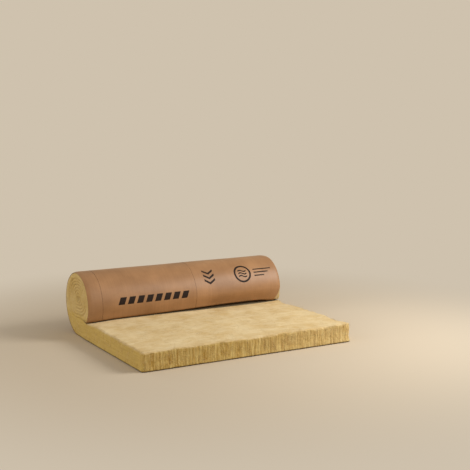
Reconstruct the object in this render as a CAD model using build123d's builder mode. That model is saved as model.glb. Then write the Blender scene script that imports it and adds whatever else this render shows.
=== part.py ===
"""A partly unrolled roll of glass-wool insulation, faced on one side with kraft paper.

The roll lies along X with its tail unrolled towards -Y. The paper is the outside of the roll and
the underside of the tail. Under the roll the blanket has its full thickness, and round the roll it
is squeezed thin. The origin is on the floor, under the middle of the whole piece.
"""

import os
from math import atan2, degrees, sqrt

from build123d import *

# Driving dimensions, in millimetres
roll_width = 1200.0  # along the roll's axis, as the blanket is sold
roll_diameter = 348.0  # over the paper
blanket_thickness = 100.0  # free thickness of the tail, paper included
tail_reach = 856.0  # from under the roll's axis to the cut end of the tail
paper_thickness = 0.6  # kraft paper with its bond coat

# How the roll meets its tail, and how its turns lie
nip_radius = 24.0  # the paper's bend where the roll closes on its tail
back_cover = 55.0  # the outermost turn's thickness behind the wound core
top_cover = 35.0  # the same above the core
front_cover = 25.0  # the same in front of the core
turn_count = 6  # squeezed turns wound inside the outermost one
turn_groove_width = 4.0  # the furrow that parts two turns on an end of the roll
turn_groove_depth = 14.0
eye_width = 34.0  # the hollow left in the middle of a roll wound without a tube
eye_height = 27.0
furrow_end_share = 0.5  # how far in the furrow runs, as a share of the eye
cut_edge_radius = 9.0  # felted top edge of the tail's cut end

# Places in the section, seen along the roll's axis
roll_radius = roll_diameter / 2
roll_y = (tail_reach - roll_radius) / 2
cut_end_y = roll_y - tail_reach

# The wound core, inside the outermost turn and on the tail
core_y = roll_y + (front_cover - back_cover) / 2
core_z = (blanket_thickness + roll_diameter - top_cover) / 2
core_half_width = roll_radius - (front_cover + back_cover) / 2
core_half_height = core_z - blanket_thickness

# The nip: a bend that is tangent to the roll outside and to the top of the tail below
nip_z = blanket_thickness + nip_radius
nip_drop = roll_radius - nip_z
nip_y = roll_y - sqrt((roll_radius - nip_radius) ** 2 - nip_drop**2)
QUARTER_TURN = 90
FLOOR_ANGLE = -QUARTER_TURN
nip_angle = degrees(atan2(nip_drop, roll_y - nip_y))
wrap_turn = 3 * QUARTER_TURN + nip_angle
nip_turn = QUARTER_TURN - nip_angle


def paper_side(inset):
    """One side of the paper in section: along the floor, round the roll, into the nip and under the core."""
    along_floor = Line((cut_end_y, inset), (roll_y, inset))
    CenterArc((roll_y, roll_radius), roll_radius - inset, FLOOR_ANGLE, wrap_turn)
    CenterArc((nip_y, nip_z), nip_radius - inset, FLOOR_ANGLE - nip_turn, nip_turn)
    on_tail = Line((nip_y, blanket_thickness + inset), (core_y, blanket_thickness + inset))
    return along_floor @ 0, on_tail @ 1


def turn_side(offset):
    """One side of the furrow between turns: half circles joined by level runs, each a step smaller."""
    half_turns = 2 * turn_count
    width_step = (core_half_width - furrow_end_share * eye_width / 2) / half_turns
    height_step = (core_half_height - furrow_end_share * eye_height / 2) / half_turns
    start = reached = (core_y, blanket_thickness - offset)
    for half_turn in range(half_turns):
        half_width = core_half_width - half_turn * width_step
        half_height = core_half_height - half_turn * height_step
        rising = half_turn % 2 == 0
        side, lift = (1, 0) if rising else (-1, height_step)
        arc = CenterArc(
            (core_y + side * (half_width - half_height), core_z + lift),
            half_height + offset,
            FLOOR_ANGLE * side,
            2 * QUARTER_TURN,
        )
        Line(reached, arc @ 0)
        reached = arc @ 1
    return start, reached


# Kraft facing: one sheet, from the cut end under the tail, round the roll and into the nip
with BuildPart() as kraft_facing:
    with BuildSketch(Plane.YZ):
        with BuildLine():
            outer_ends = paper_side(0)
            inner_ends = paper_side(paper_thickness)
            for outer_end, inner_end in zip(outer_ends, inner_ends):
                Line(outer_end, inner_end)
        make_face()
    extrude(amount=roll_width / 2, both=True)

# Wool blanket: the roll and its tail in one, with the eye through it and its turns on both ends
with BuildPart() as wool_blanket:
    with BuildSketch(Plane.YZ):
        with BuildLine():
            cut_foot, under_core = paper_side(paper_thickness)
            Polyline(
                under_core,
                (core_y, blanket_thickness),
                (cut_end_y, blanket_thickness),
                cut_foot,
            )
        make_face()
    extrude(amount=roll_width / 2, both=True)
    cut_edge = wool_blanket.edges().filter_by(Axis.X).group_by(Axis.Y)[0].sort_by(Axis.Z)[-1]
    fillet(cut_edge, cut_edge_radius)
    with BuildSketch(Plane.YZ):
        with Locations((core_y, core_z)):
            SlotOverall(eye_width, eye_height)
    extrude(amount=roll_width / 2, both=True, mode=Mode.SUBTRACT)
    for end in (-1, 1):
        with BuildSketch(Plane.YZ.offset(end * roll_width / 2)):
            with BuildLine():
                outer_ends = turn_side(turn_groove_width / 2)
                inner_ends = turn_side(-turn_groove_width / 2)
                for outer_end, inner_end in zip(outer_ends, inner_ends):
                    Line(outer_end, inner_end)
            make_face()
        extrude(amount=-end * turn_groove_depth, mode=Mode.SUBTRACT)

# One STEP file for each piece
os.makedirs("parts", exist_ok=True)
kraft_facing.part.label = "kraft_facing"
wool_blanket.part.label = "wool_blanket"
for piece in (kraft_facing.part, wool_blanket.part):
    export_step(piece, f"parts/{piece.label}.step")
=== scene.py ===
# %% [markdown]
# # A partly unrolled roll of glass wool
#
# Glass wool is sold as a long blanket, squeezed and wound into a roll. This one has kraft paper
# bonded to one side. The paper is the outside of the roll and the underside of the tail.
# The lesson dresses two plain solids: it makes the wool soft, the cut edges fibrous and the paper
# smooth, and it leaves every size as the solids have it.

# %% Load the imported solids
import math

import bmesh
import bpy
import numpy as np
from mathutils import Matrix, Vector, geometry, kdtree, noise


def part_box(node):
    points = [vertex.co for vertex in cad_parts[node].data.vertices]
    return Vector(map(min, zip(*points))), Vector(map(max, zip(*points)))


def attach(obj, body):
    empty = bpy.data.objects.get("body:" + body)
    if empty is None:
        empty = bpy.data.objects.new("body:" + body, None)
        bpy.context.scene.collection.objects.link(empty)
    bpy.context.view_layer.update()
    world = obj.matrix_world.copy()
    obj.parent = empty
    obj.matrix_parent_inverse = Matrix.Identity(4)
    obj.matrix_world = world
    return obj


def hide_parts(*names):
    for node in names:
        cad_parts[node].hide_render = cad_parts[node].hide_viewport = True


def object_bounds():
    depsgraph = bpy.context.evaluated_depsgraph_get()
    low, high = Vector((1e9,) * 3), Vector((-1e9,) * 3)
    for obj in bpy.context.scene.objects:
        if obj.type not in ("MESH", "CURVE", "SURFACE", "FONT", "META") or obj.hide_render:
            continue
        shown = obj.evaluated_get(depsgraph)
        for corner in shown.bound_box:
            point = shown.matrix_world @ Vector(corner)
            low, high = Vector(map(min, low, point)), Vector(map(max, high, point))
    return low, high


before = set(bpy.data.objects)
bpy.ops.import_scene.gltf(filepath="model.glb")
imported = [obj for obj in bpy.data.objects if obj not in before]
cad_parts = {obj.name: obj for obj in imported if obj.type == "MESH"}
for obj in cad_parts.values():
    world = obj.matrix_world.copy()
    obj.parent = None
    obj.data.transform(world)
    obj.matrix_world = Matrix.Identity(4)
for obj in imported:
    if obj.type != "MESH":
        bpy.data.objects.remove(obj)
cad_low, cad_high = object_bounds()
print("solids", sorted(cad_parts), "box", tuple(cad_high - cad_low))

# %% [markdown]
# ## The section
#
# Seen along its axis, the roll is one line of paper: along the floor, round the roll, in at the nip
# where the roll closes on its tail, and on under the wound core. If that line is a formula, the paper,
# the wool behind it and the marks printed on it can all be placed by it, so none of them
# comes loose from the others. The outer sizes are read from the frame. The rest repeats the model.

# %% Sizes of the section
MM = 0.001
paper_low, paper_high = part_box("kraft_facing")
HALF_WIDTH = paper_high.x
CUT_END_Y = paper_low.y
ROLL_RADIUS = (paper_high.z - paper_low.z) / 2
ROLL_Y = paper_high.y - ROLL_RADIUS
TAIL_THICKNESS = 100 * MM
PAPER_THICKNESS = 0.6 * MM
NIP_RADIUS = 24 * MM
BACK_COVER = 55 * MM
TOP_COVER = 35 * MM
FRONT_COVER = 25 * MM

nip_drop = ROLL_RADIUS - TAIL_THICKNESS - NIP_RADIUS
nip_y = ROLL_Y - math.sqrt((ROLL_RADIUS - NIP_RADIUS) ** 2 - nip_drop**2)
nip_angle = math.atan2(nip_drop, ROLL_Y - nip_y)
core_y = ROLL_Y + (FRONT_COVER - BACK_COVER) / 2
core_z = (TAIL_THICKNESS + 2 * ROLL_RADIUS - TOP_COVER) / 2
core_half_width = ROLL_RADIUS - (FRONT_COVER + BACK_COVER) / 2
core_half_height = core_z - TAIL_THICKNESS

floor_length = ROLL_Y - CUT_END_Y
wrap_length = ROLL_RADIUS * (1.5 * math.pi + nip_angle)
nip_length = NIP_RADIUS * (0.5 * math.pi - nip_angle)
tuck_length = core_y - nip_y
paper_length = floor_length + wrap_length + nip_length + tuck_length


def section_at(along):
    """Place and outward normal of the paper's outer face, this far along it from the cut end."""
    along = np.asarray(along, float)
    before = np.clip(floor_length - along, 0, None)
    wrap = np.clip(along - floor_length, 0, wrap_length)
    nip = np.clip(along - floor_length - wrap_length, 0, nip_length)
    tuck = np.clip(along - floor_length - wrap_length - nip_length, 0, None)
    roll_turn = wrap / ROLL_RADIUS - math.pi / 2
    turn = roll_turn + nip / NIP_RADIUS
    arm = ROLL_RADIUS - NIP_RADIUS
    y = ROLL_Y + arm * np.cos(roll_turn) + NIP_RADIUS * np.cos(turn) + tuck - before
    z = ROLL_RADIUS + arm * np.sin(roll_turn) + NIP_RADIUS * np.sin(turn)
    return y, z, np.cos(turn), np.sin(turn)


print(f"paper {paper_length:.3f} m long in section, nip at y {nip_y:.3f}")

# %% [markdown]
# ## Camera, floor and light
#
# The camera stands where the photograph was taken from, worked out from the corners of the tail and
# the ends of the roll. The floor is plain and pale, and fades into a background of the same colour,
# so that there is no horizon. Colours are written as sRGB hex, the way a colour picker shows them,
# and one function turns them into the linear values that Blender works with.


# %% Colours and nodes
def linear(hex_colour):
    """Linear red, green, blue and alpha of an sRGB hex colour."""
    parts = [int(hex_colour[i : i + 2], 16) / 255 for i in (1, 3, 5)]
    return (*[p / 12.92 if p <= 0.04045 else ((p + 0.055) / 1.055) ** 2.4 for p in parts], 1.0)


def add(tree, kind, inputs=None, **settings):
    """Adds a node with its settings. An input takes a value, or another node's output as a link."""
    node = tree.nodes.new(kind)
    for name, value in settings.items():
        setattr(node, name, value)
    for name, value in (inputs or {}).items():
        if isinstance(value, bpy.types.NodeSocket):
            tree.links.new(value, node.inputs[name])
        else:
            node.inputs[name].default_value = value
    return node


def new_material(name):
    """An empty node material."""
    material = bpy.data.materials.new(name)
    material.use_nodes = True
    material.node_tree.nodes.clear()
    return material, material.node_tree


print(f"the hex grey #808080 is {linear('#808080')[0]:.3f} in linear light")

# %% Camera
FRAME_PIXELS = 470
FOCAL_PIXELS = 950
SENSOR = 36.0
CAMERA_PLACE = (-2.377, -4.480, 1.234)
CAMERA_PITCH = math.radians(7.675)
CAMERA_YAW = math.radians(29.86)

camera_data = bpy.data.cameras.new("camera")
camera_data.sensor_width = SENSOR
camera_data.lens = FOCAL_PIXELS / FRAME_PIXELS * SENSOR
camera = bpy.data.objects.new("camera", camera_data)
camera.location = CAMERA_PLACE
camera.rotation_euler = (math.pi / 2 - CAMERA_PITCH, 0, -CAMERA_YAW)
bpy.context.scene.collection.objects.link(camera)
bpy.context.scene.camera = camera
bpy.context.scene.view_settings.view_transform = "Standard"
print(f"camera lens {camera_data.lens:.1f} mm")


# %% What sees the background
def seen_directly(tree):
    """1 for the camera's rays and for mirrored or refracted ones, 0 for the rays that carry light."""
    ray = add(tree, "ShaderNodeLightPath").outputs
    seen = ray["Is Camera Ray"]
    for kind in ("Is Glossy Ray", "Is Transmission Ray"):
        either = add(tree, "ShaderNodeMath", {0: seen, 1: ray[kind]}, operation="MAXIMUM")
        seen = either.outputs["Value"]
    return seen


print("the background shows to the camera, and in anything glossy or clear")

# %% Floor and background
FLOOR_COLOUR = linear("#CFC2AE")
FLOOR_HALF = 30.0
FLOOR_DROP = 0.4 * MM  # so that the floor and the paper on it don't share a plane
FADE_START = 0.8
FADE_END = 2.4

floor_material, tree = new_material("pale studio floor")
place = add(tree, "ShaderNodeTexCoord").outputs["Object"]
distance = add(tree, "ShaderNodeVectorMath", {0: place}, operation="LENGTH").outputs["Value"]
fade = add(
    tree,
    "ShaderNodeMapRange",
    {"Value": distance, "From Min": FADE_START, "From Max": FADE_END},
    interpolation_type="SMOOTHSTEP",
).outputs["Result"]
seen = seen_directly(tree)
faded = add(tree, "ShaderNodeMath", {0: fade, 1: seen}, operation="MULTIPLY").outputs["Value"]
matte = add(tree, "ShaderNodeBsdfDiffuse", {"Color": FLOOR_COLOUR}).outputs["BSDF"]
plain = add(tree, "ShaderNodeEmission", {"Color": FLOOR_COLOUR}).outputs["Emission"]
mixed = add(tree, "ShaderNodeMixShader", {0: faded, 1: matte, 2: plain}).outputs["Shader"]
add(tree, "ShaderNodeOutputMaterial", {"Surface": mixed})

floor_corners = [(-1, -1), (1, -1), (1, 1), (-1, 1)]
floor_points = [(x * FLOOR_HALF, y * FLOOR_HALF, -FLOOR_DROP) for x, y in floor_corners]
floor_mesh = bpy.data.meshes.new("floor")
floor_mesh.from_pydata(floor_points, [], [(0, 1, 2, 3)])
floor_mesh.materials.append(floor_material)
floor = bpy.data.objects.new("floor", floor_mesh)
bpy.context.scene.collection.objects.link(floor)
print(f"floor, fading into the background from {FADE_START} to {FADE_END} m")

# %% Studio light
SKY_COLOUR = linear("#FFF1DE")
SKY_STRENGTH = 0.34

world = bpy.data.worlds.new("studio")
world.use_nodes = True
tree = world.node_tree
tree.nodes.clear()
seen = seen_directly(tree)
sky = add(tree, "ShaderNodeBackground", {"Color": SKY_COLOUR, "Strength": SKY_STRENGTH}).outputs[0]
backdrop = add(tree, "ShaderNodeBackground", {"Color": FLOOR_COLOUR, "Strength": 1.0}).outputs[0]
both = add(tree, "ShaderNodeMixShader", {0: seen, 1: sky, 2: backdrop}).outputs["Shader"]
add(tree, "ShaderNodeOutputWorld", {"Surface": both})
bpy.context.scene.world = world


def soft_box(name, place, aim, size, power, colour):
    """A square studio lamp that faces a point."""
    data = bpy.data.lights.new(name, "AREA")
    data.size = size
    data.energy = power
    data.color = linear(colour)[:3]
    lamp = bpy.data.objects.new(name, data)
    lamp.location = place
    lamp.rotation_euler = (Vector(aim) - Vector(place)).to_track_quat("-Z", "Y").to_euler()
    bpy.context.scene.collection.objects.link(lamp)


# Name, place, aim, size in metres, power in watts, colour
LAMPS = (
    ("key", (2.3, -1.75, 2.0), (0.2, -0.1, 0.1), 1.6, 99, "#FFFCF7"),
    ("overhead", (0.3, -0.3, 3.4), (0.2, -0.1, 0.0), 2.2, 6, "#FFFCF7"),
    ("fill", (-4.0, -0.3, 1.6), (0.0, 0.0, 0.1), 2.0, 42, "#FFFDF8"),
    ("back", (-1.8, 3.4, 1.2), (0.0, 0.4, 0.15), 2.0, 17, "#FFFDF8"),
)
for lamp in LAMPS:
    soft_box(*lamp)
print("lamps", [lamp[0] for lamp in LAMPS])

# %% [markdown]
# ## Mesh helpers
#
# Soft things are made of many small faces that are nudged by noise. NumPy moves all points at once,
# and mathutils has the noise. Each kind of surface is a grid or a filled outline, and welding the
# edges that they share gives one closed skin.

# %% Mesh helpers
NOISE_SEED = 7  # without a seed the vector noise starts from the clock, and each run differs
noise.seed_set(NOISE_SEED)


def field(points, sizes, seed=0.0):
    """Smooth noise from -1 to 1 at each point, with lumps about as large as sizes, in metres."""
    scaled = np.asarray(points, float) / np.asarray(sizes, float) + seed
    return np.array([noise.noise(p) for p in scaled.tolist()])


def eased(values, reach):
    """0 at zero, 1 from reach on, with a soft start and end."""
    share = np.clip(np.asarray(values, float) / reach, 0, 1)
    return share * share * (3 - 2 * share)


def spaced(start, end, step):
    """Evenly spaced numbers from start to end, about a step apart."""
    return np.linspace(start, end, max(2, round(abs(end - start) / step) + 1))


def grid_quads(rows, columns, first=0):
    """Quads of a grid whose points are numbered row by row."""
    row, column = np.meshgrid(np.arange(rows - 1), np.arange(columns - 1), indexing="ij")
    corner = (first + row * columns + column).ravel()
    return np.stack([corner, corner + 1, corner + columns + 1, corner + columns], axis=1).tolist()


def sheet_shell(upper, under):
    """Points and faces of a thin closed sheet between two grids of points."""
    rows, columns = upper.shape[:2]
    count = rows * columns
    number = np.arange(count).reshape(rows, columns)
    rim = [*number[0, :-1], *number[:-1, -1], *number[-1, :0:-1], *number[:0:-1, 0]]
    faces = grid_quads(rows, columns) + [q[::-1] for q in grid_quads(rows, columns, count)]
    faces += [(b, a, a + count, b + count) for a, b in zip(rim, rim[1:] + rim[:1])]
    return np.concatenate([upper.reshape(-1, 3), under.reshape(-1, 3)]), faces


def joined(parts):
    """Points and faces of several parts, as one."""
    points, faces, first = [], [], 0
    for part_points, part_faces in parts:
        points.append(part_points)
        faces += [tuple(first + i for i in face) for face in part_faces]
        first += len(part_points)
    return np.concatenate(points), faces


def even(line, count):
    """Points evenly spaced along a flat line."""
    line = np.asarray(line, float)
    run = np.concatenate([[0], np.cumsum(np.linalg.norm(np.diff(line, axis=0), axis=1))])
    wanted = np.linspace(0, run[-1], count)
    return np.stack([np.interp(wanted, run, line[:, i]) for i in (0, 1)], axis=1)


print("noise seed", NOISE_SEED)


# %% Making a piece
RIM_ANGLE = math.radians(50)
WELD_GAP = 0.001 * MM


def make_piece(name, points, faces, material, slot, thin=False):
    """A smooth-shaded piece of the roll, with its faces turned outwards. A thin one has crisp rims."""
    mesh = bpy.data.meshes.new(name)
    mesh.from_pydata(np.asarray(points).tolist(), [], faces)
    shape = bmesh.new()
    shape.from_mesh(mesh)
    if not thin:
        bmesh.ops.remove_doubles(shape, verts=shape.verts, dist=WELD_GAP)
    bmesh.ops.recalc_face_normals(shape, faces=shape.faces)
    shape.to_mesh(mesh)
    shape.free()
    mesh.shade_smooth()
    if thin:
        mesh.set_sharp_from_angle(angle=RIM_ANGLE)
    mesh.materials.append(material)
    piece = bpy.data.objects.new(name, mesh)
    bpy.context.scene.collection.objects.link(piece)
    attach(piece, "root")
    print(name, len(mesh.vertices), "points", len(mesh.polygons), "faces")
    return piece


print(f"rims of more than {math.degrees(RIM_ANGLE):.0f} degrees stay crisp on thin pieces")

# %% [markdown]
# ## Kraft paper
#
# The facing is machine-glazed kraft: unbleached brown paper, dried on a polished drum. The eye gets
# a warm brown with a soft sheen, long fibre streaks along the web and a few darker flecks. Paper is
# a dielectric, so it keeps an IOR near 1.5 and has no metal in it. The streaks run round the
# roll, because the web ran that way through the machine: they are fine across the roll and
# long around it. A flat brown would look like plastic, so layers of stretched noise make them.

# %% Kraft paper colours
STREAK_WIDTH = 7 * MM
STREAK_LENGTH = 260 * MM
FLECK = 4 * MM  # fibre bundles; drawn coarser than the real ones, which would not show
CLOUD = 130 * MM

kraft_paper, tree = new_material("machine-glazed kraft paper")
place = add(tree, "ShaderNodeTexCoord").outputs["Object"]
along_web = add(
    tree,
    "ShaderNodeMapping",
    {"Vector": place, "Scale": (1 / STREAK_WIDTH, 1 / STREAK_LENGTH, 1 / STREAK_LENGTH)},
).outputs["Vector"]
streaks = add(
    tree, "ShaderNodeTexNoise", {"Vector": along_web, "Scale": 1.0, "Detail": 4.0}
).outputs["Fac"]
clouds = add(
    tree, "ShaderNodeTexNoise", {"Vector": place, "Scale": 1 / CLOUD, "Detail": 3.0}
).outputs["Fac"]
flecks = add(
    tree, "ShaderNodeTexNoise", {"Vector": place, "Scale": 1 / FLECK, "Detail": 5.0}
).outputs["Fac"]
cloud_share = add(
    tree, "ShaderNodeMapRange", {"Value": clouds, "From Min": 0.3, "From Max": 0.7}
).outputs["Result"]
brown = add(
    tree,
    "ShaderNodeMix",
    {0: cloud_share, 6: linear("#966D46"), 7: linear("#AE8258")},
    data_type="RGBA",
).outputs[2]

# Darker layers: their pattern, where it starts and is full, how much it covers, its colour
for pattern, start, full, most, colour in (
    (streaks, 0.35, 0.75, 0.2, "#7E5A3B"),
    (flecks, 0.6, 0.75, 0.35, "#6B4A2E"),
):
    share = add(
        tree,
        "ShaderNodeMapRange",
        {"Value": pattern, "From Min": start, "From Max": full, "To Max": most},
    ).outputs["Result"]
    brown = add(
        tree, "ShaderNodeMix", {0: share, 6: brown, 7: linear(colour)}, data_type="RGBA"
    ).outputs[2]
print("patterns and colours of", kraft_paper.name)

# %% Kraft paper gloss and relief
gloss = add(
    tree, "ShaderNodeMapRange", {"Value": streaks, "To Min": 0.42, "To Max": 0.56}
).outputs["Result"]
relief = add(
    tree, "ShaderNodeBump", {"Height": flecks, "Strength": 0.12, "Distance": 0.4 * MM}
).outputs["Normal"]
shader = add(
    tree,
    "ShaderNodeBsdfPrincipled",
    {"Base Color": brown, "Roughness": gloss, "IOR": 1.5, "Normal": relief},
).outputs["BSDF"]
add(tree, "ShaderNodeOutputMaterial", {"Surface": shader})
print("finish", kraft_paper.name)

# %% [markdown]
# ## The facing
#
# The paper is one sheet. It was bonded to flat wool and then bent, so it is taut round the roll, with
# shallow dents where the wool behind it is uneven, and the roll is a little smaller at its two ends,
# where the wool gives way. A thin closed shell is made from the section's formula. A dented cylinder
# would look the same from the front, but it wouldn't run on into the nip and under the tail.

# %% How the nip closes
NIP_GAP = 2.5 * MM
NIP_LIFT = 11 * MM  # the roll lies less close on its tail on the +X side of its middle
NIP_OPENS = 0.45  # it starts to lift this far to -X of the middle, as a share of the half width
NIP_CLOSING = 170 * MM  # and closes on it again at its +X end
NIP_SAG = 7 * MM  # at its -X end the nip sits lower in the tail
SAG_REACH = 190 * MM
SLIT_DEPTH = 80 * MM  # how far the paper can be followed into the nip
wrap_end = floor_length + wrap_length
slit_start = wrap_end + nip_length


def nip_share(across):
    """How open the nip is across the roll, from 0 to 1."""
    opening = eased(across + NIP_OPENS * HALF_WIDTH, HALF_WIDTH)
    return opening * eased(HALF_WIDTH - across, NIP_CLOSING)


def nip_sag(across):
    """How far the nip is pressed down into the tail, in metres."""
    return NIP_SAG * eased(SAG_REACH - HALF_WIDTH - across, SAG_REACH)


print(f"the nip opens by up to {NIP_GAP + NIP_LIFT:.4f} m")

# %% How far the paper stands out
DENT_HEIGHT = 1.5 * MM
DENT_ACROSS = 260 * MM
DENT_AROUND = 75 * MM
DENTS_START = 90 * MM  # they grow over this length where the paper leaves the floor
DENTS_END = 40 * MM  # and fade over this one before the nip
RIM_REACH = 26 * MM
RIM_DROP = 4.5 * MM
CURL_REACH = 70 * MM
CURL_HEIGHT = 1.5 * MM
CURL_PATCH = 170 * MM
CURL_END = 20 * MM  # the edges lie flat from this far before the place under the roll's axis
CURL_FADE = 200 * MM
NIP_APPROACH = 70 * MM


def paper_height(across, along):
    """Height over the plain section: dents, smaller rims, curled edges and the open nip."""
    flat_place = np.stack([across, along, np.zeros_like(along)], axis=-1).reshape(-1, 3)
    from_rim = HALF_WIDTH - np.abs(across)
    on_roll = eased(along - floor_length, DENTS_START) * eased(wrap_end - along, DENTS_END)
    dents = field(flat_place, (DENT_ACROSS, DENT_AROUND, 1)).reshape(along.shape)
    rim = np.clip(1 - from_rim / RIM_REACH, 0, 1)
    in_nip = eased(along - wrap_end + NIP_APPROACH, NIP_APPROACH)
    in_nip = in_nip * (1 - eased(along - slit_start, SLIT_DEPTH))
    gap = NIP_GAP + NIP_LIFT * nip_share(across) - nip_sag(across)
    curl = np.clip(1 - np.minimum(from_rim, along) / CURL_REACH, 0, 1) ** 2
    curl = curl * eased(floor_length - CURL_END - along, CURL_FADE)
    unruly = 0.75 + 0.6 * field(flat_place, (CURL_PATCH, CURL_PATCH, 1), 4.4).reshape(along.shape)
    curled = CURL_HEIGHT * curl * unruly.clip(0.4, 1)
    return on_roll * (DENT_HEIGHT * dents - RIM_DROP * rim**2) - in_nip * gap - curled


print(f"dents of {DENT_HEIGHT:.4f} m, rims {RIM_DROP:.4f} m lower")

# %% The paper's surface
CORNER_PULL = 34 * MM  # at the nip the +X corner is drawn in
CORNER_PUSH = 9 * MM  # and the -X corner stands out
CORNER_ACROSS = 120 * MM
CORNER_AROUND = 75 * MM
PUSH_END = 8 * MM  # this far before the slit, that corner starts to fall back into line
PUSH_FADE = 22 * MM
TUCK_PULL = 8 * MM  # in the slit the paper's edges draw back into the furrow between the turns


def paper_surface(across, along, lift=0.0):
    """Points on the paper's outer face, raised by lift, with its two corners at the nip loose."""
    across, along = np.broadcast_arrays(np.asarray(across, float), np.asarray(along, float))
    y, z, normal_y, normal_z = section_at(along)
    height = paper_height(across, along) + lift
    to_corner = np.clip((along - wrap_end) / CORNER_AROUND + 1, 0, 1) ** 2
    pull = CORNER_PULL * to_corner * eased(across - HALF_WIDTH + CORNER_ACROSS, CORNER_ACROSS)
    to_slit = to_corner * (1 - eased(along - slit_start + PUSH_END, PUSH_FADE))
    pull = pull + CORNER_PUSH * to_slit * eased(CORNER_ACROSS - HALF_WIDTH - across, CORNER_ACROSS)
    pull = pull + TUCK_PULL * across / HALF_WIDTH * eased(along - slit_start, SLIT_DEPTH)
    return np.stack([across - pull, y + normal_y * height, z + normal_z * height], axis=-1)


print(f"corners at the nip moved by {CORNER_PULL:.3f} and {CORNER_PUSH:.3f} m")

# %% Facing
ACROSS_STEP = 9 * MM
RIM_STEP = 4 * MM
FLOOR_STEP = 30 * MM
WRAP_STEP = 5.5 * MM
NIP_STEP = 3 * MM
TUCK_STEP = 20 * MM

across_inner = spaced(-HALF_WIDTH + RIM_REACH, HALF_WIDTH - RIM_REACH, ACROSS_STEP)
rim_steps = spaced(0, RIM_REACH, RIM_STEP)[:-1]
paper_across = np.concatenate([-HALF_WIDTH + rim_steps, across_inner, HALF_WIDTH - rim_steps[::-1]])
paper_along = np.concatenate(
    [
        spaced(0, floor_length, FLOOR_STEP)[:-1],
        spaced(floor_length, wrap_end, WRAP_STEP)[:-1],
        spaced(wrap_end, paper_length - tuck_length, NIP_STEP)[:-1],
        spaced(paper_length - tuck_length, paper_length, TUCK_STEP),
    ]
)
outer_face = paper_surface(paper_across[None, :], paper_along[:, None])
inner_face = paper_surface(paper_across[None, :], paper_along[:, None], -PAPER_THICKNESS)
facing = make_piece("kraft_sheet", *sheet_shell(outer_face, inner_face), kraft_paper, "kraft", thin=True)
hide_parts("kraft_facing")

# %% [markdown]
# ## Where the turns lie
#
# On each end the blanket can be followed from the nip inwards, turn after turn, to the eye that is
# left in the middle. The line between two turns is drawn with half circles and short level runs, each
# half turn a step smaller than the last. The wool's ends dip along this line, and the paper
# of the inner turns shows in it.

# %% Line between the turns
TURN_COUNT = 6
EYE_WIDTH = 34 * MM
EYE_HEIGHT = 27 * MM
FURROW_END_SHARE = 0.5
TURN_STEP = 4 * MM
ARC_POINTS = 40


def turn_line(step):
    """Points (y, z) from the nip, under the core and inwards to the eye."""
    half_turns = 2 * TURN_COUNT
    width_step = (core_half_width - FURROW_END_SHARE * EYE_WIDTH / 2) / half_turns
    height_step = (core_half_height - FURROW_END_SHARE * EYE_HEIGHT / 2) / half_turns
    runs = [np.array([[nip_y, TAIL_THICKNESS], [core_y, TAIL_THICKNESS]])]
    for half_turn in range(half_turns):
        radius = core_half_height - half_turn * height_step
        middle = core_half_width - half_turn * width_step - radius
        side, lift, start = (-1, height_step, math.pi / 2) if half_turn % 2 else (1, 0, -math.pi / 2)
        angle = np.linspace(start, start + math.pi, ARC_POINTS)
        ring = np.stack([side * middle + radius * np.cos(angle), lift + radius * np.sin(angle)], axis=1)
        runs.append(ring + (core_y, core_z))
    line = np.concatenate(runs)
    length = np.linalg.norm(np.diff(line, axis=0), axis=1).sum()
    return even(line, round(length / step) + 1)


def nearest(points, line):
    """Distance of each point (y, z) from a line, and the number of the line's nearest point."""
    tree = kdtree.KDTree(len(line))
    for number, (y, z) in enumerate(line.tolist()):
        tree.insert((0, y, z), number)
    tree.balance()
    found = [tree.find((0, y, z)) for y, z in np.asarray(points).tolist()]
    return np.array([f[2] for f in found]), np.array([f[1] for f in found])


turns = turn_line(TURN_STEP)
print("line between the turns", len(turns), "points")

# %% [markdown]
# ## Glass wool
#
# Glass wool is spun from molten glass, like candy floss, bound with a yellowish resin and felted into
# a blanket. Its skin is a pale felt with long loose streaks. Where it was sawn, the layers
# are open: the colour is deeper and the surface rougher. It is fully matte, with a soft sheen of
# loose fibres at the edge of a form. Next to the paper it is dark: partly the bond coat that has
# soaked in, partly painted shade, which also darkens the wool pressed in the nip and along the foot
# of the tail. The furrows of the ends and the grooves of the sawn end get painted shade as well.
# Painted masks would need a flat map of the skin, so four values are stored on the mesh itself for
# the finish: how sawn a place is, whether its layers lie flat, how deep it is in a furrow, which
# sets its painted shade, and how much bond stain and painted shade it holds.

# %% Glass wool and what is stored on its mesh
glass_wool, tree = new_material("spun glass wool with resin binder")
place = add(tree, "ShaderNodeTexCoord").outputs["Object"]
sawn = add(tree, "ShaderNodeAttribute", attribute_name="sawn").outputs["Fac"]
layered = add(tree, "ShaderNodeAttribute", attribute_name="layered").outputs["Fac"]
furrow_shade = add(tree, "ShaderNodeAttribute", attribute_name="furrow_shade").outputs["Fac"]
bond_stain_and_shade = add(tree, "ShaderNodeAttribute", attribute_name="bond_stain_and_shade").outputs["Fac"]
print("values on the mesh: sawn, layered, furrow, bonded")

# %% Glass wool felt
FELT_CLOUD = 110 * MM
FELT_STREAK = (70 * MM, 24 * MM, 24 * MM)

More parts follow.
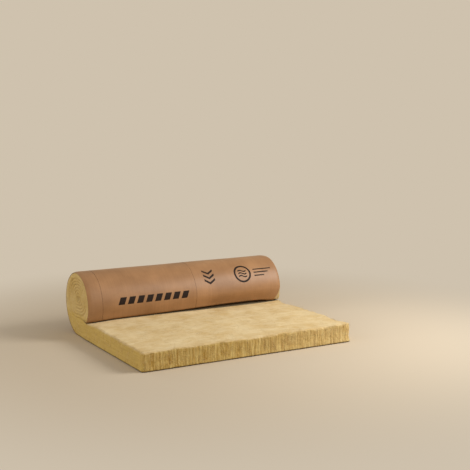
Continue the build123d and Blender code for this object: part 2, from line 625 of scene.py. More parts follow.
clouds = add(
    tree, "ShaderNodeTexNoise", {"Vector": place, "Scale": 1 / FELT_CLOUD, "Detail": 4.0}
).outputs["Fac"]
felt_place = add(
    tree, "ShaderNodeMapping", {"Vector": place, "Scale": [1 / size for size in FELT_STREAK]}
).outputs["Vector"]
streaks = add(
    tree,
    "ShaderNodeTexNoise",
    {"Vector": felt_place, "Scale": 1.0, "Detail": 5.0, "Distortion": 0.8},
).outputs["Fac"]
cloud_share = add(
    tree, "ShaderNodeMapRange", {"Value": clouds, "From Min": 0.35, "From Max": 0.65}
).outputs["Result"]
felt = add(
    tree, "ShaderNodeMix", {0: cloud_share, 6: linear("#CFB27C"), 7: linear("#DFC99C")}, data_type="RGBA"
).outputs[2]
streak_share = add(
    tree, "ShaderNodeMapRange", {"Value": streaks, "From Min": 0.45, "From Max": 0.75, "To Max": 0.55}
).outputs["Result"]
felt = add(
    tree, "ShaderNodeMix", {0: streak_share, 6: felt, 7: linear("#EAD9B2")}, data_type="RGBA"
).outputs[2]
print("felt of", glass_wool.name)

# %% Glass wool where it was sawn
RIB_STREAK = (12 * MM, 12 * MM, 75 * MM)
LAYER = (120 * MM, 120 * MM, 7 * MM)
CLUMP = (24 * MM, 24 * MM, 34 * MM)

# Upright ribs and flat layers: the size of their pattern, its detail, its dark and its pale colour
sawn_colours = []
for sizes, detail, dark, pale in (
    (RIB_STREAK, 3.0, "#AF8B40", "#DAC27E"),
    (LAYER, 4.0, "#C3A456", "#D0B468"),
):
    stretched = add(
        tree, "ShaderNodeMapping", {"Vector": place, "Scale": [1 / size for size in sizes]}
    ).outputs["Vector"]
    pattern = add(
        tree, "ShaderNodeTexNoise", {"Vector": stretched, "Scale": 1.0, "Detail": detail}
    ).outputs["Fac"]
    share = add(
        tree, "ShaderNodeMapRange", {"Value": pattern, "From Min": 0.3, "From Max": 0.7}
    ).outputs["Result"]
    mixed = add(tree, "ShaderNodeMix", {0: share, 6: linear(dark), 7: linear(pale)}, data_type="RGBA")
    sawn_colours.append(mixed.outputs[2])
ribbed, split = sawn_colours
edge = add(tree, "ShaderNodeMix", {0: layered, 6: ribbed, 7: split}, data_type="RGBA").outputs[2]
clump_place = add(
    tree, "ShaderNodeMapping", {"Vector": place, "Scale": [1 / size for size in CLUMP]}
).outputs["Vector"]
clumps = add(
    tree, "ShaderNodeTexNoise", {"Vector": clump_place, "Scale": 1.0, "Detail": 2.0}
).outputs["Fac"]
clump_share = add(
    tree, "ShaderNodeMapRange", {"Value": clumps, "From Min": 0.55, "From Max": 0.8, "To Max": 0.6}
).outputs["Result"]
edge = add(
    tree, "ShaderNodeMix", {0: clump_share, 6: edge, 7: linear("#A67C33")}, data_type="RGBA"
).outputs[2]
wool = add(tree, "ShaderNodeMix", {0: sawn, 6: felt, 7: edge}, data_type="RGBA").outputs[2]
print("sawn faces of", glass_wool.name)

# %% Glass wool pits, strands, bond stain and painted shade
PIT = 5 * MM  # gaps between tufts; the real ones are finer and would not show
STRAND = 4 * MM  # bundles; single fibres are finer than a hair and would not show

pits = add(
    tree, "ShaderNodeTexNoise", {"Vector": place, "Scale": 1 / PIT, "Detail": 4.0}
).outputs["Fac"]
strands = add(
    tree,
    "ShaderNodeTexNoise",
    {"Vector": place, "Scale": 1 / STRAND, "Detail": 3.0, "Distortion": 1.6},
    noise_type="RIDGED_MULTIFRACTAL",
    normalize=True,
).outputs["Fac"]

# Each layer: its pattern, where that starts and is full, how much it covers, its colour
for pattern, start, full, most, colour in (
    (pits, 0.5, 0.75, 0.16, "#A9853F"),
    (strands, 0.35, 0.9, 0.35, "#EADDB6"),
    # painted shade in the furrows between the turns and in the grooves of the sawn end
    (furrow_shade, 0.0, 1.0, 0.3, "#8E6C30"),
    # bond stain next to the paper, with painted shade where the roll presses on its tail and along the
    # tail's foot
    (bond_stain_and_shade, 0.0, 1.0, 0.9, "#3F2A12"),
):
    share = add(
        tree,
        "ShaderNodeMapRange",
        {"Value": pattern, "From Min": start, "From Max": full, "To Max": most},
    ).outputs["Result"]
    wool = add(
        tree, "ShaderNodeMix", {0: share, 6: wool, 7: linear(colour)}, data_type="RGBA"
    ).outputs[2]
print("pits, strands and stains of", glass_wool.name)

# %% Glass wool relief and sheen
TANGLE = 11 * MM  # drawn coarser than the real tangles, which would not show

tangle = add(
    tree,
    "ShaderNodeTexNoise",
    {"Vector": place, "Scale": 1 / TANGLE, "Detail": 6.0, "Distortion": 0.6},
    noise_type="RIDGED_MULTIFRACTAL",
    normalize=True,
).outputs["Fac"]
finest = add(
    tree, "ShaderNodeBump", {"Height": strands, "Strength": 0.35, "Distance": 1 * MM}
).outputs["Normal"]
fine = add(
    tree, "ShaderNodeBump", {"Height": pits, "Strength": 0.4, "Distance": 1.5 * MM, "Normal": finest}
).outputs["Normal"]
relief = add(
    tree, "ShaderNodeBump", {"Height": tangle, "Strength": 0.4, "Distance": 2.5 * MM, "Normal": fine}
).outputs["Normal"]
shader = add(
    tree,
    "ShaderNodeBsdfPrincipled",
    {
        "Base Color": wool,
        "Roughness": 0.95,
        "IOR": 1.45,
        "Specular IOR Level": 0.15,
        "Sheen Weight": 0.2,
        "Sheen Roughness": 0.6,
        "Sheen Tint": linear("#F4E8C6"),
        "Normal": relief,
    },
).outputs["BSDF"]
add(tree, "ShaderNodeOutputMaterial", {"Surface": shader})
print("finish", glass_wool.name)

# %% [markdown]
# ## The blanket's skin
#
# The blanket is one closed skin. Its long faces are a grid: along the section, and across the roll.
# Behind the paper the grid is coarse, because nobody sees it. Its three open faces, the two
# ends and the sawn end of the tail, are outlines filled with scattered points, because
# the line between the turns doesn't fit a plain grid. Points on shared edges are the same in both,
# so they weld.

# %% Outline of the blanket
WOOL_GAP = 2.2 * MM  # room behind the paper, so that its dents stay clear of the wool
SLIT_CLOSES = 0.9  # share of that room that is lost at the end of the slit
HIDDEN_FLOOR_STEP = 40 * MM
HIDDEN_WRAP_STEP = 16 * MM
HIDDEN_NIP_STEP = 6 * MM
TOP_STEP = 6 * MM
EDGE_STEP = 4 * MM
SKIN_STEP = 5.5 * MM

hidden_along = np.concatenate(
    [
        spaced(0, floor_length, HIDDEN_FLOOR_STEP)[:-1],
        spaced(floor_length, wrap_end, HIDDEN_WRAP_STEP)[:-1],
        spaced(wrap_end, slit_start, HIDDEN_NIP_STEP)[:-1],
        spaced(slit_start, slit_start + SLIT_DEPTH, EDGE_STEP),
    ]
)
y, z, normal_y, normal_z = section_at(hidden_along)
gap_share = eased(hidden_along - floor_length, DENTS_START)
gap_share = gap_share * (1 - SLIT_CLOSES * eased(hidden_along - slit_start, SLIT_DEPTH))
depth = PAPER_THICKNESS + WOOL_GAP * gap_share
hidden = np.stack([y - normal_y * depth, z - normal_z * depth], axis=1)
top_y = np.concatenate(
    [spaced(nip_y + SLIT_DEPTH, nip_y, EDGE_STEP)[:-1], spaced(nip_y, CUT_END_Y, TOP_STEP)]
)
tail_top = np.stack([top_y, np.full_like(top_y, TAIL_THICKNESS)], axis=1)
edge_z = spaced(TAIL_THICKNESS, hidden[0, 1], EDGE_STEP)[1:-1]
sawn_edge = np.stack([np.full_like(edge_z, CUT_END_Y), edge_z], axis=1)
skin_line = np.concatenate([hidden, tail_top])
outline = np.concatenate([skin_line, sawn_edge])
skin_across = spaced(-HALF_WIDTH, HALF_WIDTH, SKIN_STEP)
print("outline", len(outline), "points, skin", len(skin_line), "by", len(skin_across))


# %% Filled faces
ROW_SHARE = 0.87  # rows of equal triangles are this share of a side apart
LOOSENESS = 0.22


def scattered(low, high, step, random):
    """Points of a slightly untidy triangular grid over a rectangle."""
    columns = spaced(low[0], high[0], step)
    rows = spaced(low[1], high[1], step * ROW_SHARE)
    u, v = np.meshgrid(columns, rows)
    u = u + step / 2 * (np.arange(len(rows)) % 2)[:, None]
    loose = LOOSENESS * step * random.uniform(-1, 1, (2, *u.shape))
    return np.stack([(u + loose[0]).ravel(), (v + loose[1]).ravel()], axis=1)


def within(points, loop):
    """Whether each point is inside a loop: a ray to its right then crosses it an odd number of times."""
    x, y = np.asarray(points, float).T[:, :, None]
    (x_from, y_from), (x_to, y_to) = loop.T, np.roll(loop, -1, axis=0).T
    spans = (y_from > y) != (y_to > y)
    rise = np.where(y_to == y_from, 1, y_to - y_from)
    crossing = x_from + (y - y_from) * (x_to - x_from) / rise
    return (spans & (x < crossing)).sum(axis=1) % 2 == 1


def filled(border, inside, holes=()):
    """Triangles over an outline, through the points inside it and round its holes."""
    loops = [border, *holes]
    starts = np.cumsum([0] + [len(loop) for loop in loops])
    edges = [
        (int(start + i), int(start + (i + 1) % len(loop)))
        for start, loop in zip(starts, loops)
        for i in range(len(loop))
    ]
    points = [Vector(p) for p in np.concatenate([*loops, inside]).tolist()]
    verts, _, faces, *_ = geometry.delaunay_2d_cdt(points, edges, [], 1, 1e-7)
    places, faces = np.array([tuple(v) for v in verts]), np.array(faces)
    for hole in holes:
        faces = faces[~within(places[faces].mean(axis=1), hole)]
    used, numbers = np.unique(faces, return_inverse=True)
    return places[used], numbers.reshape(-1, 3).tolist()


random = np.random.default_rng(7)
print("faces are filled from outlines, with seeded random points")

# %% The two ends
END_STEP = 4.6 * MM
ROW_OFFSETS = np.array([-5.2, -2.3, 0.0, 2.3, 5.2]) * MM  # rows of points beside the line of the turns
ROW_CLEAR = 0.5  # gap to those rows, as a share of a step
BORDER_CLEAR = 0.55
EYE_POINTS = 36

eye_turn = np.linspace(0, 2 * math.pi, EYE_POINTS, endpoint=False)
eye_run = (EYE_WIDTH - EYE_HEIGHT) / 2
eye = np.stack(
    [
        core_y + eye_run * np.sign(np.cos(eye_turn)) + EYE_HEIGHT / 2 * np.cos(eye_turn),
        core_z + EYE_HEIGHT / 2 * np.sin(eye_turn),
    ],
    axis=1,
)
heading = np.gradient(turns, axis=0)
heading /= np.linalg.norm(heading, axis=1, keepdims=True)
sideways = np.stack([-heading[:, 1], heading[:, 0]], axis=1)
rows = np.concatenate([turns + offset * sideways for offset in ROW_OFFSETS])
loose = scattered((CUT_END_Y, 0), (ROLL_Y + ROLL_RADIUS, 2 * ROLL_RADIUS), END_STEP, random)
loose = loose[nearest(loose, turns)[0] > ROW_OFFSETS[-1] + ROW_CLEAR * END_STEP]
inside_end = np.concatenate([rows, loose])
border_gap = np.minimum(nearest(inside_end, outline)[0], nearest(inside_end, eye)[0])
inside_end = inside_end[border_gap > BORDER_CLEAR * EDGE_STEP]
end_points, end_faces = filled(outline, inside_end, [eye])
print("an end", len(end_points), "points", len(end_faces), "faces")

# %% Sawn end of the tail
SAWN_STEP = 3.6 * MM
SAWN_CLEAR = 0.6

foot_z = hidden[0, 1]
across_loop = np.concatenate(
    [
        np.stack([skin_across, np.full_like(skin_across, foot_z)], axis=1),
        np.stack([np.full_like(edge_z, HALF_WIDTH), edge_z[::-1]], axis=1),
        np.stack([skin_across[::-1], np.full_like(skin_across, TAIL_THICKNESS)], axis=1),
        np.stack([np.full_like(edge_z, -HALF_WIDTH), edge_z], axis=1),
    ]
)
inside_sawn = scattered((-HALF_WIDTH, 0), (HALF_WIDTH, TAIL_THICKNESS), SAWN_STEP, random)
room = np.minimum(HALF_WIDTH - np.abs(inside_sawn[:, 0]), inside_sawn[:, 1] - foot_z)
room = np.minimum(room, TAIL_THICKNESS - inside_sawn[:, 1])
inside_sawn = inside_sawn[room > SAWN_CLEAR * SAWN_STEP]
sawn_points, sawn_faces = filled(across_loop, inside_sawn)
print("sawn end", len(sawn_points), "points", len(sawn_faces), "faces")

# %% Weld the skin
EYE_STEP = 60 * MM


def swept(line, across):
    """A grid of points: a line of the section, repeated across the roll."""
    return np.stack(
        [
            np.broadcast_to(across[None, :], (len(line), len(across))),
            np.broadcast_to(line[:, :1], (len(line), len(across))),
            np.broadcast_to(line[:, 1:], (len(line), len(across))),
        ],
        axis=-1,
    ).reshape(-1, 3)


eye_across = spaced(-HALF_WIDTH, HALF_WIDTH, EYE_STEP)
skin_parts = [
    (swept(skin_line, skin_across), grid_quads(len(skin_line), len(skin_across))),
    (swept(np.concatenate([eye, eye[:1]]), eye_across), grid_quads(len(eye) + 1, len(eye_across))),
    (np.insert(sawn_points, 1, CUT_END_Y, axis=1), sawn_faces),
    (np.insert(end_points, 0, -HALF_WIDTH, axis=1), end_faces),
    (np.insert(end_points, 0, HALF_WIDTH, axis=1), end_faces),
]
blanket = make_piece("wool_roll", *joined(skin_parts), glass_wool, "wool")
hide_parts("wool_blanket")

# %% [markdown]
# ## Making it soft
#
# Real wool has no sharp edge and no flat face. Each point of the skin is moved by what lies near it:
# edges are rounded, the open faces swell between the turns and dip along them, the sawn end gets
# the upright ribs that the saw leaves, and noise of several sizes makes everything uneven. Points
# near the paper hardly move, because the paper holds them. Sculpting by hand could give the same
# forms, but formulas follow along when a size of the roll changes.

# %% Distances that the softening needs
LINE_STEP = 3 * MM
TOUCH = 0.01 * MM
JUST_ABOVE = 0.1 * MM

mesh = blanket.data
rest = np.empty(len(mesh.vertices) * 3)
mesh.vertices.foreach_get("co", rest)
rest = rest.reshape(-1, 3)
section = rest[:, 1:]

line_along = spaced(0, slit_start + SLIT_DEPTH, LINE_STEP)
from_paper, line_number = nearest(section, np.stack(section_at(line_along)[:2], axis=1))
outer_along = spaced(0, slit_start, LINE_STEP)
from_outside, _ = nearest(section, np.stack(section_at(outer_along)[:2], axis=1))
from_turns, _ = nearest(section, turns)
from_end = HALF_WIDTH - np.abs(rest[:, 0])
from_cut = rest[:, 1] - CUT_END_Y
below_top = TAIL_THICKNESS - rest[:, 2]
on_end = from_end < TOUCH
on_cut = from_cut < TOUCH
on_top = (np.abs(below_top) < TOUCH) & (rest[:, 1] < nip_y)
exposed = on_end | on_cut | on_top
below_roll = rest[:, 2] < TAIL_THICKNESS + JUST_ABOVE
in_tail = (rest[:, 1] < nip_y) & below_roll
print("points on the ends", on_end.sum(), "on the sawn end", on_cut.sum(), "on top", on_top.sum())

# %% Rounded edges
EDGE_ROUND = 14 * MM
ROUND_START = 70 * MM  # the tail's edges get rounder over this length from the nip

side = np.sign(rest[:, 0])
soft = rest.copy()

tail_round = EDGE_ROUND * eased(nip_y - rest[:, 1], ROUND_START)
inner = rest.copy()
inner[:, 0] = side * np.minimum(np.abs(rest[:, 0]), HALF_WIDTH - tail_round)
inner[:, 1] = np.maximum(rest[:, 1], CUT_END_Y + tail_round)
inner[:, 2] = np.minimum(rest[:, 2], TAIL_THICKNESS - tail_round)
out = rest - inner
length = np.linalg.norm(out, axis=1)
rounding = in_tail & (length > TOUCH) & (below_top > -TOUCH) & exposed
outwards = out[rounding] / length[rounding, None]
soft[rounding] = inner[rounding] + outwards * tail_round[rounding, None]
print("rounded points", int(rounding.sum()))

# %% Where the wool meets the paper
PAPER_ROUND = 4 * MM
FOOT_FLARE = 5 * MM  # the tail spreads a little where it stands on its paper
FOOT_HEIGHT = 45 * MM
FLARE_REACH = 140 * MM

held = np.clip(1 - from_paper / PAPER_ROUND, 0, 1)
foot_share = eased(nip_y + FLARE_REACH - rest[:, 1], FLARE_REACH) * below_roll
recede = PAPER_ROUND * (1 - np.sqrt(1 - held**2)) * (1 - foot_share)
recede -= FOOT_FLARE * (1 - eased(rest[:, 2], FOOT_HEIGHT)) * foot_share
soft[:, 0] -= side * recede * on_end
soft[:, 1] += recede * on_cut
print(f"wool drawn back by {recede.max():.4f} m at the paper, spread by {-recede.min():.4f} m at its foot")

# %% Turns on the ends
FURROW_DEPTH = 4 * MM
FURROW_WIDTH = 2.6 * MM
SWELL = 3 * MM
SWELL_WIDTH = 8 * MM
FURROW_PAST = 5 * MM  # coming out of the nip, the furrow starts to fade this far inside it
FURROW_FADE = 30 * MM
SLIT_HEIGHT = 20 * MM
OUTSIDE_REACH = 10 * MM

dip = np.exp(-((from_turns / FURROW_WIDTH) ** 2))
swell = 1 - np.exp(-((from_turns / SWELL_WIDTH) ** 2))
turn_fade = 1 - eased(nip_y + FURROW_PAST - rest[:, 1], FURROW_FADE)
near_slit = np.exp(-((below_top / SLIT_HEIGHT) ** 2)) * (1 - eased(rest[:, 1] - nip_y, SLIT_DEPTH))
turn_shape = SWELL * (swell - 1) - FURROW_DEPTH * dip * turn_fade
soft[:, 0] += side * on_end * turn_shape * eased(from_outside, OUTSIDE_REACH) * (1 - near_slit)
print(f"furrows up to {-turn_shape.min():.4f} m deep")

# %% Ribs on the sawn end
RIB_WIDTH = 17 * MM
RIB_DEPTH = 3.4 * MM
RIB_ROUND = 0.7  # under 1, the ribs are fuller than a wave
RIB_WANDER = 5 * MM
WANDER_PATCH = (60 * MM, 1, 45 * MM)
TORN_PATCH = (40 * MM, 1, 26 * MM)

rib_count = int(2.2 * HALF_WIDTH / RIB_WIDTH)
rib_edges = np.cumsum(random.uniform(0.55, 1.45, rib_count) * RIB_WIDTH) - 1.05 * HALF_WIDTH
rib_depths = random.uniform(0.35, 1.0, rib_count + 1)
wander = RIB_WANDER * field(rest, WANDER_PATCH, 3.1)
rib_place = np.interp(rest[:, 0] + wander, rib_edges, np.arange(rib_count))
rib_number = np.clip(rib_place.astype(int), 0, rib_count)
rib_share = np.abs(np.sin(math.pi * rib_place)) ** RIB_ROUND
torn = 0.75 + 0.6 * field(rest, TORN_PATCH, 6.6)
groove = (1 - rib_share) * rib_depths[rib_number] * torn.clip(0.1, 1)
soft[:, 1] += RIB_DEPTH * groove * on_cut * eased(below_top, EDGE_ROUND)
print("ribs", rib_count)

# %% Lumps and layers
LUMPS = ((95 * MM, 3.2 * MM), (34 * MM, 1.6 * MM), (12 * MM, 0.9 * MM))  # size and height
PAPER_HOLDS = 16 * MM
TUFTED_EDGE = 22 * MM
TUFTED_MORE = 0.9
LAYER_LINE = (240 * MM, 240 * MM, 11 * MM)
LAYER_DEPTH = 1.2 * MM

loose_wool = eased(from_paper, PAPER_HOLDS)
shift = np.zeros_like(rest)
for size, height in LUMPS:
    shift += height * np.array([noise.noise_vector(p) for p in (rest / size).tolist()])
to_faces = np.sort(np.stack([from_end, from_cut, np.abs(below_top)]), axis=0)
near_edge = (1 - eased(to_faces[1], TUFTED_EDGE)) * in_tail
soft += shift * (loose_wool * exposed * (1 + TUFTED_MORE * near_edge))[:, None]

layer_lines = field(rest, LAYER_LINE, 5.7)
soft[:, 0] -= side * LAYER_DEPTH * np.clip(layer_lines, 0, 1) * on_end * loose_wool * in_tail
print(f"lumps up to {np.abs(shift).max():.4f} m")

# %% Uneven top of the tail
SETTLED = 3.2 * MM
PILLOW = 4.0 * MM
PILLOW_SIZE = (210 * MM, 140 * MM, 1)
RIPPLE = 2.2 * MM
RIPPLE_SIZE = (380 * MM, 62 * MM, 1)
TOP_START = 80 * MM  # all this grows over a length from the nip
UPPER_POWER = 1.5  # the lower wool moves less than the upper, the more so the larger this is
# Rises and hollows of the tail's +X edge: where along it, how far they reach, how high they are
EDGE_RISES = ((-0.24, 0.07, 5 * MM), (-0.40, 0.08, -5.5 * MM), (CUT_END_Y, 0.12, 6 * MM))

pillow = field(rest, PILLOW_SIZE, 1.3)
ripple = field(rest, RIPPLE_SIZE, 8.2)
sink = SETTLED - PILLOW * pillow - RIPPLE * ripple
for rise_y, rise_reach, rise_height in EDGE_RISES:
    from_rise = np.hypot(rest[:, 0] - HALF_WIDTH, rest[:, 1] - rise_y)
    sink = sink - rise_height * np.exp(-((from_rise / rise_reach) ** 2))
upper = np.clip(rest[:, 2] / TAIL_THICKNESS, 0, 1) ** UPPER_POWER
soft[:, 2] -= sink * (upper * in_tail * eased(nip_y - rest[:, 1], TOP_START))
print(f"top of the tail moved by {-sink[on_top].max():.4f} to {-sink[on_top].min():.4f} m")

# %% Wool at the nip and behind the paper
NIP_PRESS = 3.5 * MM
PRESS_REACH = 90 * MM
FOLLOW_REACH = 55 * MM
FRONT_START = 0.8  # share of the way round from which the paper is over the tail

pressed = eased(rest[:, 1] - nip_y + PRESS_REACH, PRESS_REACH)
pressed = pressed * (1 - eased(rest[:, 1] - nip_y, SLIT_DEPTH))
pressed *= upper * below_roll
soft[:, 2] -= (NIP_PRESS * nip_share(rest[:, 0]) + nip_sag(rest[:, 0])) * pressed

near_along = line_along[line_number]
_, _, normal_y, normal_z = section_at(near_along)
free_top = below_roll & (near_along > floor_length + FRONT_START * wrap_length)
follow = paper_height(rest[:, 0], near_along) * (1 - eased(from_paper, FOLLOW_REACH)) * ~free_top
soft[:, 1] += normal_y * follow
soft[:, 2] += normal_z * follow

mesh.vertices.foreach_set("co", soft.ravel())
mesh.update()
low, high = soft.min(axis=0), soft.max(axis=0)
print("soft blanket from", low.round(4), "to", high.round(4))

# %% Values for the finish
SAWN_REACH = 7 * MM
LIP_START = 2 * MM  # the felt of the top folds over the edge of a sawn face
LIP_REACH = 15 * MM
ROLL_PALER = 0.4  # the roll's ends are rubbed to felt more than the tail's sides
PALER_REACH = 40 * MM
CUT_PAINTED_LIGHT = 0.35  # painted light: the +X half of the sawn end is paler, where the light falls stronger
CUT_PAINTED_LIGHT_START = 0.3  # from this far to -X of the middle, as a share of the half width
STAIN_AND_SHADE_DEPTH = 6 * MM
STAIN_AND_SHADE_FADE = 3 * MM
STAIN_AND_SHADE_ON_ROLL = 0.3

lip = np.where(in_tail, eased(below_top + LIP_START, LIP_REACH), 1)
sawn_share = np.maximum(1 - from_end / SAWN_REACH, 1 - from_cut / SAWN_REACH).clip(0, 1) * lip
sawn_share *= 1 - ROLL_PALER * eased(-below_top, PALER_REACH)
# painted light: the sawn end turns paler towards +X
to_painted_light = eased(rest[:, 0] + CUT_PAINTED_LIGHT_START * HALF_WIDTH, HALF_WIDTH)
sawn_share *= 1 - CUT_PAINTED_LIGHT * to_painted_light * on_cut
layered_share = (1 - from_end / SAWN_REACH).clip(0, 1)
# painted shade, deepest in the furrows of the ends and the grooves of the sawn end
furrow_shade_share = np.maximum(dip * turn_fade * on_end, groove * on_cut)
in_slit = eased(rest[:, 1] - nip_y, SLIT_DEPTH) * (from_turns < STAIN_AND_SHADE_DEPTH)
# dark next to the paper: the bond stain, and painted shade in the nip under the roll and along the foot of
# the tail
bond_stain_and_shade_share = ((STAIN_AND_SHADE_DEPTH - from_paper) / STAIN_AND_SHADE_FADE).clip(0, 1)
bond_stain_and_shade_share = bond_stain_and_shade_share * np.where(below_roll, 1, STAIN_AND_SHADE_ON_ROLL) * (1 - in_slit)
stored = {"sawn": sawn_share, "layered": layered_share, "furrow_shade": furrow_shade_share, "bond_stain_and_shade": bond_stain_and_shade_share}
for name, values in stored.items():
    layer = mesh.attributes.new(name, "FLOAT", "POINT")
    layer.data.foreach_set("value", values.astype(np.float32))
print("values stored", [a.name for a in mesh.attributes])

# %% [markdown]
# ## Paper of the inner turns
#
# The facing goes on inside the roll, between the turns. Only its edge shows, as a thin brown line in
# each furrow, so a narrow strip along the line between the turns is enough on each end.

# %% Inner paper
STRIP_FRONT = 8 * MM
STRIP_SECOND = 14 * MM
STRIP_BACK = 45 * MM

strip_across = np.array([STRIP_FRONT, STRIP_SECOND, STRIP_BACK])
strip_start = int(np.argmax(turns[:, 0] > core_y - 1 * MM))
strips = []
for end in (-1, 1):
    faces_of_strip = [
        swept(
            turns[strip_start:] + offset * sideways[strip_start:],
            end * (HALF_WIDTH - strip_across),
        ).reshape(-1, len(strip_across), 3)
        for offset in (PAPER_THICKNESS / 2, -PAPER_THICKNESS / 2)
    ]
    strips.append(sheet_shell(*faces_of_strip))
make_piece("inner_turn_paper", *joined(strips), kraft_paper, "kraft", thin=True)

# %% [markdown]
# ## Loose fibres
#
# Glass wool sheds. Short fibres stand off every sawn face and edge, and a few lie on the felt. A hair
# system would need thousands of strands turned to mesh later, so the strands are made as thin
# three-sided tubes from arrays: a root on the skin, a heading along it, a bend and a small lift.

# %% Roots of the fibres
FIBRE_COUNT = 5200
SHED_FROM_END = 0.5  # compared with 1 for the sawn end of the tail
SHED_FROM_TOP = 0.12
SHED_REACH = 8 * MM  # from the paper, which holds the wool

mesh.calc_loop_triangles()
triangles = np.empty(len(mesh.loop_triangles) * 3, np.int32)
mesh.loop_triangles.foreach_get("vertices", triangles)
triangles = triangles.reshape(-1, 3)
shed = on_cut * 1.0 + on_end * SHED_FROM_END + on_top * SHED_FROM_TOP + near_edge * exposed
shed = shed * eased(from_paper, SHED_REACH)
first_side = soft[triangles[:, 1]] - soft[triangles[:, 0]]
other_side = soft[triangles[:, 2]] - soft[triangles[:, 0]]
facing_out = np.cross(first_side, other_side)
doubled_area = np.linalg.norm(facing_out, axis=1)
chance = doubled_area * shed[triangles].min(axis=1)
picked = random.choice(len(triangles), FIBRE_COUNT, p=chance / chance.sum())
share_one, share_two = np.sort(random.random((2, FIBRE_COUNT)), axis=0)
root = soft[triangles[picked, 0]] + first_side[picked] * share_one[:, None]
root += other_side[picked] * (1 - share_two)[:, None]
outward = facing_out[picked] / doubled_area[picked, None]
heading_out = np.cross(outward, random.normal(size=(FIBRE_COUNT, 3)))
heading_out /= np.linalg.norm(heading_out, axis=1, keepdims=True)
bend_out = np.cross(outward, heading_out)
print("roots", len(root))

# %% Loose fibres
FIBRE_SHORTEST = 12 * MM
FIBRE_LONGEST = 38 * MM
FIBRE_RADIUS = 0.3 * MM  # drawn thicker than the real ones, which would not show
FIBRE_TAPER = 0.6
FIBRE_BEND = 0.6
FIBRE_LIFT = 4.5 * MM
FIBRE_OVERHANG = 5 * MM
ROOT_DEPTH = 0.8 * MM
FIBRE_STATIONS = 5
FIBRE_SIDES = 3

reach = random.uniform(FIBRE_SHORTEST, FIBRE_LONGEST, FIBRE_COUNT)
box_low = np.array(cad_low) - FIBRE_OVERHANG
box_high = np.array(cad_high) + FIBRE_OVERHANG
ahead = np.where(heading_out > 0, box_high - root, root - box_low) / np.abs(heading_out).clip(0.001)
reach = np.minimum(reach, ahead.min(axis=1).clip(FIBRE_OVERHANG))
reach = np.minimum(reach, from_paper[triangles[picked, 0]] + FIBRE_OVERHANG)[:, None, None]
bend = random.uniform(-FIBRE_BEND, FIBRE_BEND, FIBRE_COUNT)[:, None, None]
lift = FIBRE_LIFT * random.uniform(0.15, 1, FIBRE_COUNT)[:, None, None] ** 2
station = np.linspace(0, 1, FIBRE_STATIONS)[None, :, None]
spine = root[:, None] + heading_out[:, None] * reach * station
spine = spine + bend_out[:, None] * reach * bend * station**2
spine += outward[:, None] * (lift * np.sin(math.pi * 0.8 * station) - ROOT_DEPTH * (1 - station))
angle = np.arange(FIBRE_SIDES) * 2 * math.pi / FIBRE_SIDES
ring = outward[:, None] * np.cos(angle)[:, None] + bend_out[:, None] * np.sin(angle)[:, None]
taper = FIBRE_RADIUS * (1 - FIBRE_TAPER * station[..., None])
fibre_points = (spine[:, :, None] + ring[:, None] * taper).reshape(-1, 3)
fibre_points[:, 2] = fibre_points[:, 2].clip(PAPER_THICKNESS)

tube = []
for row in range(FIBRE_STATIONS - 1):
    for column in range(FIBRE_SIDES):
        here = row * FIBRE_SIDES + column
        beside = row * FIBRE_SIDES + (column + 1) % FIBRE_SIDES
        tube.append((here, beside, beside + FIBRE_SIDES, here + FIBRE_SIDES))
last_ring = (FIBRE_STATIONS - 1) * FIBRE_SIDES
fibre_faces = []
for first in range(0, len(fibre_points), FIBRE_STATIONS * FIBRE_SIDES):
    fibre_faces += [tuple(first + i for i in face) for face in tube]
    fibre_faces.append(tuple(first + i for i in reversed(range(FIBRE_SIDES))))
    fibre_faces.append(tuple(first + last_ring + i for i in range(FIBRE_SIDES)))
make_piece("loose_fibres", fibre_points, fibre_faces, glass_wool, "wool")

# %% [markdown]
# ## Printed marks
#
# Such paper is printed in one dark ink, with marks for the fitter. These are plain ones: cutting
# lines round the roll, a row of slanted blocks, chevrons that point the way to unroll, and a round sign
# with waves for warmth. The marks are drawn flat, as places across and along the paper, and
# the paper's own formula bends them round the roll. Each is a closed film that stands a hair above
# the paper. An image would need unwrapping, and a film keeps its edge sharp from close by.
# The ink is water-based and soaks in as it dries. The eye gets a flat brown-black, hardly glossy, with
# specks where the paper shows through.

# %% Printing ink
INK_SPECK = 6 * MM  # drawn coarser than the real specks, which would not show
INK_PATCH = 45 * MM

ink, tree = new_material("water-based printing ink")
place = add(tree, "ShaderNodeTexCoord").outputs["Object"]
specks = add(
    tree, "ShaderNodeTexNoise", {"Vector": place, "Scale": 1 / INK_SPECK, "Detail": 4.0}
).outputs["Fac"]
patches = add(tree, "ShaderNodeTexNoise", {"Vector": place, "Scale": 1 / INK_PATCH}).outputs["Fac"]
dark = add(
    tree, "ShaderNodeMix", {0: patches, 6: linear("#1B1009"), 7: linear("#271810")}, data_type="RGBA"
).outputs[2]
speck_share = add(
    tree, "ShaderNodeMapRange", {"Value": specks, "From Min": 0.55, "From Max": 0.75, "To Max": 0.15}
).outputs["Result"]
worn = add(
    tree, "ShaderNodeMix", {0: speck_share, 6: dark, 7: linear("#5E4129")}, data_type="RGBA"
).outputs[2]
gloss = add(tree, "ShaderNodeMapRange", {"Value": specks, "To Min": 0.55, "To Max": 0.7}).outputs["Result"]
shader = add(
    tree,
    "ShaderNodeBsdfPrincipled",
    {"Base Color": worn, "Roughness": gloss, "IOR": 1.5, "Specular IOR Level": 0.2},
).outputs["BSDF"]
add(tree, "ShaderNodeOutputMaterial", {"Surface": shader})
print("finish", ink.name)


# %% Shapes to print
INK_FILM = 0.2 * MM
INK_STEP = 6 * MM


def around(degrees):
    """Place along the paper at an angle round the roll: 90 is its top, 180 its front."""
    return floor_length + ROLL_RADIUS * (math.radians(degrees) + math.pi / 2)


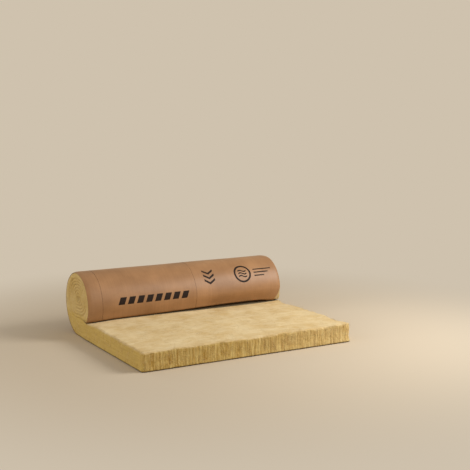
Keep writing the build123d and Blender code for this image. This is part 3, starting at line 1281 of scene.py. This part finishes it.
def band(first_line, second_line):
    """A grid of flat places between two lines."""
    length = np.linalg.norm(np.diff(np.asarray(first_line, float), axis=0), axis=1).sum()
    count = 2 * math.ceil(length / 2 / INK_STEP) + 1
    first, second = even(first_line, count), even(second_line, count)
    width = np.linalg.norm(second - first, axis=1).max()
    share = spaced(0, 1, INK_STEP / width)[:, None, None]
    return (1 - share) * first + share * second


def stroke(line, width):
    """A band along a straight line, as wide as it says."""
    (x_from, along_from), (x_to, along_to) = line
    length = math.hypot(x_to - x_from, along_to - along_from)
    aside = np.array([along_from - along_to, x_to - x_from]) * width / 2 / length
    return band(np.asarray(line) + aside, np.asarray(line) - aside)


print(f"marks are films {2 * INK_FILM:.4f} m thick")

# %% Cutting lines and blocks
LINE_WIDTH = 1.1 * MM
LINES_X = (-0.518, 0.045)
LINE_START = -80
BLOCK_COUNT = 8
BLOCK_WIDTH = 36 * MM
BLOCK_STEP = 54 * MM
BLOCK_SLANT = 16 * MM
BLOCKS_X = -0.43
BLOCK_FOOT = 178
BLOCK_HEAD = 165

marks = []
for line_x in LINES_X:
    marks.append(stroke([(line_x, around(LINE_START)), (line_x, slit_start)], LINE_WIDTH))
block_low, block_high = around(BLOCK_FOOT), around(BLOCK_HEAD)
for number in range(BLOCK_COUNT):
    left = BLOCKS_X + number * BLOCK_STEP
    foot = [(left, block_low), (left + BLOCK_WIDTH, block_low)]
    head = [(left + BLOCK_SLANT, block_high), (left + BLOCK_SLANT + BLOCK_WIDTH, block_high)]
    marks.append(band(foot, head))
print("lines and blocks", len(marks))

# %% Chevrons
CHEVRON_COUNT = 3
CHEVRON_TOP = 127
CHEVRON_X = 0.14
CHEVRON_HALF = 34 * MM
CHEVRON_DROP = 22 * MM
CHEVRON_WIDTH = 13 * MM
CHEVRON_STEP = 30 * MM

for number in range(CHEVRON_COUNT):
    top = around(CHEVRON_TOP) + number * CHEVRON_STEP
    upper_line = np.array(
        [
            (CHEVRON_X - CHEVRON_HALF, top),
            (CHEVRON_X, top + CHEVRON_DROP),
            (CHEVRON_X + CHEVRON_HALF, top),
        ]
    )
    marks.append(band(upper_line, upper_line + (0, CHEVRON_WIDTH)))
print("with chevrons", len(marks))

# %% Round sign and rules
SIGN_X = 0.36
SIGN_ANGLE = 143
SIGN_RADIUS = 55 * MM
SIGN_RIM = 11 * MM
SIGN_POINTS = 73
WAVE_HALF = 27 * MM
WAVE_WIDTH = 8 * MM
WAVE_HEIGHT = 5 * MM
WAVE_STEP = 17 * MM
WAVE_POINTS = 25
RULES_X = 0.435
RULE_LENGTH = 0.12
RULE_SHARES = (1.0, 0.8, 0.55)
RULE_STEP = 20 * MM
RULE_WIDTH = 7 * MM

sign_middle = np.array([SIGN_X, around(SIGN_ANGLE)])
round_turn = np.linspace(0, 2 * math.pi, SIGN_POINTS)
circle = np.stack([np.cos(round_turn), np.sin(round_turn)], axis=1)
sign_inside = sign_middle + circle * (SIGN_RADIUS - SIGN_RIM)
marks.append(band(sign_middle + circle * SIGN_RADIUS, sign_inside))
wave_turn = np.linspace(-math.pi, math.pi, WAVE_POINTS)
wave = np.stack([WAVE_HALF * wave_turn / math.pi, WAVE_HEIGHT * np.sin(wave_turn)], axis=1)
for row in (-1, 0, 1):
    upper_line = sign_middle + wave + (0, row * WAVE_STEP - WAVE_WIDTH / 2)
    marks.append(band(upper_line, upper_line + (0, WAVE_WIDTH)))
for row, length_share in enumerate(RULE_SHARES):
    rule_along = sign_middle[1] + (row - 1) * RULE_STEP
    rule = [(RULES_X, rule_along), (RULES_X + RULE_LENGTH * length_share, rule_along)]
    marks.append(stroke(rule, RULE_WIDTH))
print("with sign and rules", len(marks))

# %% Print the marks on the paper
films = []
for mark in marks:
    sides = [paper_surface(mark[..., 0], mark[..., 1], lift) for lift in (INK_FILM, -INK_FILM)]
    films.append(sheet_shell(*sides))
make_piece("printed_marks", *joined(films), ink, "kraft", thin=True)

# %% [markdown]
# ## Count and finish
#
# A library part should be light enough to load beside many others, so the triangles of each piece are
# counted. The dressed part should differ from the box of the solids by a few millimetres only: the fibres
# that stand off and the wool that swells.

# %% Triangles in each piece
for piece in [o for o in bpy.data.objects if o.type == "MESH" and o.visible_get()]:
    piece.data.calc_loop_triangles()
    print(piece.name, len(piece.data.loop_triangles), "triangles")
